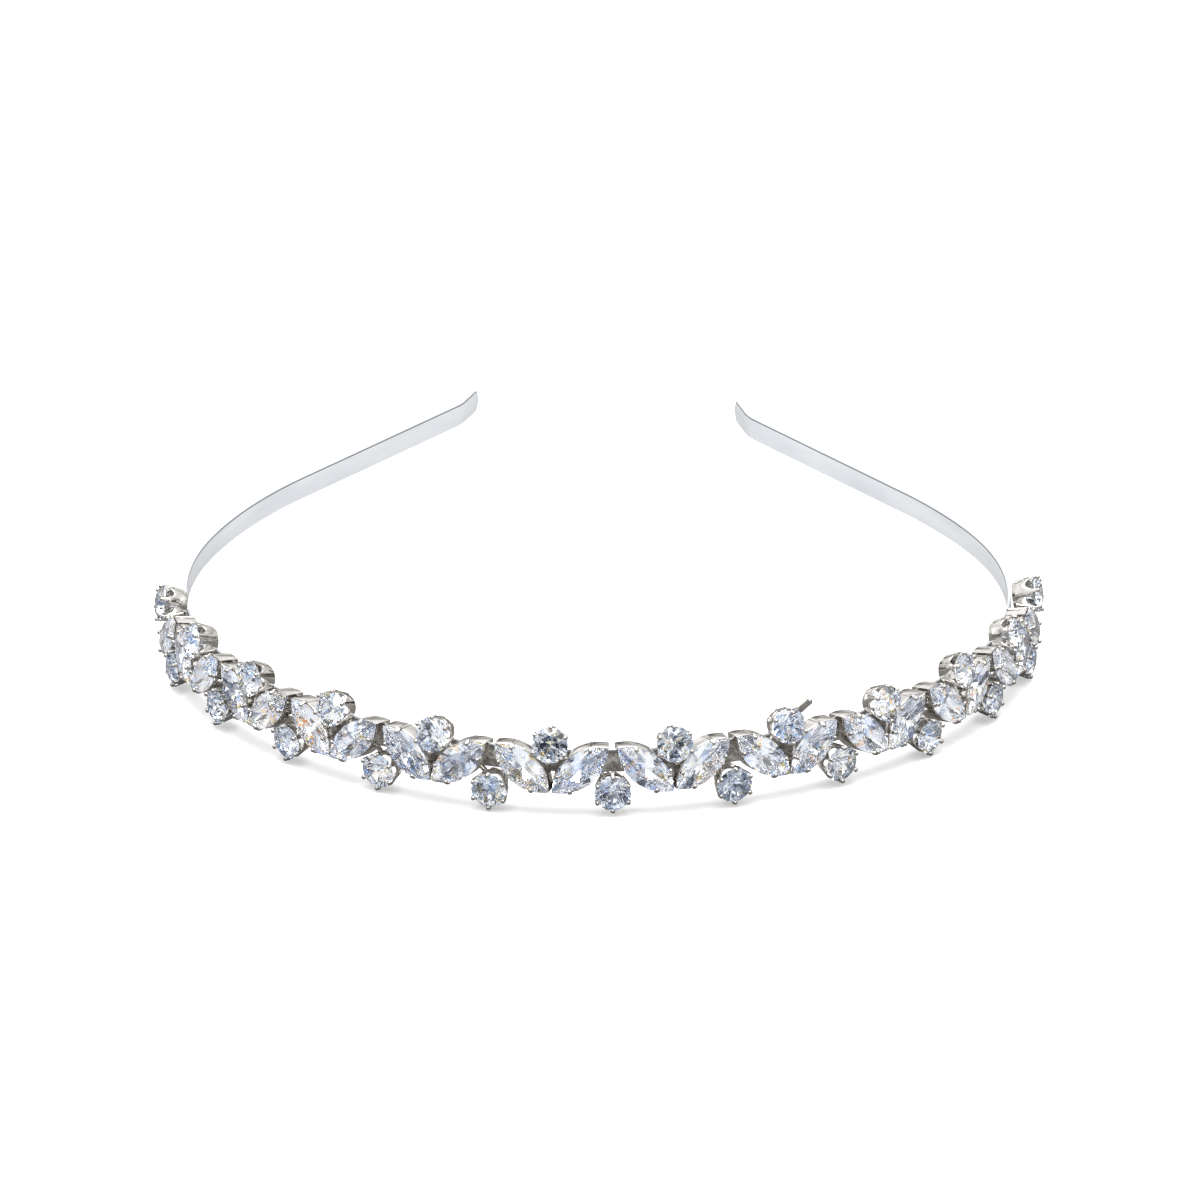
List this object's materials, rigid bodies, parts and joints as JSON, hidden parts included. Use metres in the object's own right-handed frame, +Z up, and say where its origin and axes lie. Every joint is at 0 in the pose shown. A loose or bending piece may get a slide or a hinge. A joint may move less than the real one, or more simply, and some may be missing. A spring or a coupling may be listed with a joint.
{
  "type": "crystal headband",
  "caption": "Narrow spring-steel headband with a zigzag of claw-set marquise crystals and round crystals above and below it along the front.",
  "frame": {"origin": "on the surface that the headband lies on, under the middle of its box", "axes": "+X from the left arm to the right arm as seen from the front, +Y from the jewelled crown towards the two tips, +Z up, across the width of the strip"},
  "size_m": [0.127, 0.1556, 0.0143],
  "materials": {
    "strip": "satin, nickel plated",
    "settings": "polished rhodium plate",
    "crystal": "cut and polished, clear"
  },
  "bodies": {
    "root": {"band": "strip", "claw_cluster_01": "settings", "claw_cluster_02": "settings", "claw_cluster_03": "settings", "claw_cluster_04": "settings", "claw_cluster_05": "settings", "claw_cluster_06": "settings", "claw_cluster_07": "settings", "claw_cluster_08": "settings", "claw_cluster_09": "settings", "claw_cluster_10": "settings", "claw_cluster_11": "settings", "claw_cluster_12": "settings", "round_upper_01": "crystal", "round_upper_02": "crystal", "round_upper_03": "crystal", "round_upper_04": "crystal", "round_upper_05": "crystal", "round_upper_06": "crystal", "round_upper_07": "crystal", "round_upper_08": "crystal", "round_upper_09": "crystal", "round_upper_10": "crystal", "round_upper_11": "crystal", "round_upper_12": "crystal", "round_lower_01": "crystal", "round_lower_02": "crystal", "round_lower_03": "crystal", "round_lower_04": "crystal", "round_lower_05": "crystal", "round_lower_06": "crystal", "round_lower_07": "crystal", "round_lower_08": "crystal", "round_lower_09": "crystal", "round_lower_10": "crystal", "round_lower_11": "crystal", "marquise_01": "crystal", "marquise_02": "crystal", "marquise_03": "crystal", "marquise_04": "crystal", "marquise_05": "crystal", "marquise_06": "crystal", "marquise_07": "crystal", "marquise_08": "crystal", "marquise_09": "crystal", "marquise_10": "crystal", "marquise_11": "crystal", "marquise_12": "crystal", "marquise_13": "crystal", "marquise_14": "crystal", "marquise_15": "crystal", "marquise_16": "crystal", "marquise_17": "crystal", "marquise_18": "crystal", "marquise_19": "crystal", "marquise_20": "crystal", "marquise_21": "crystal", "marquise_22": "crystal"}
  },
  "joints": []
}
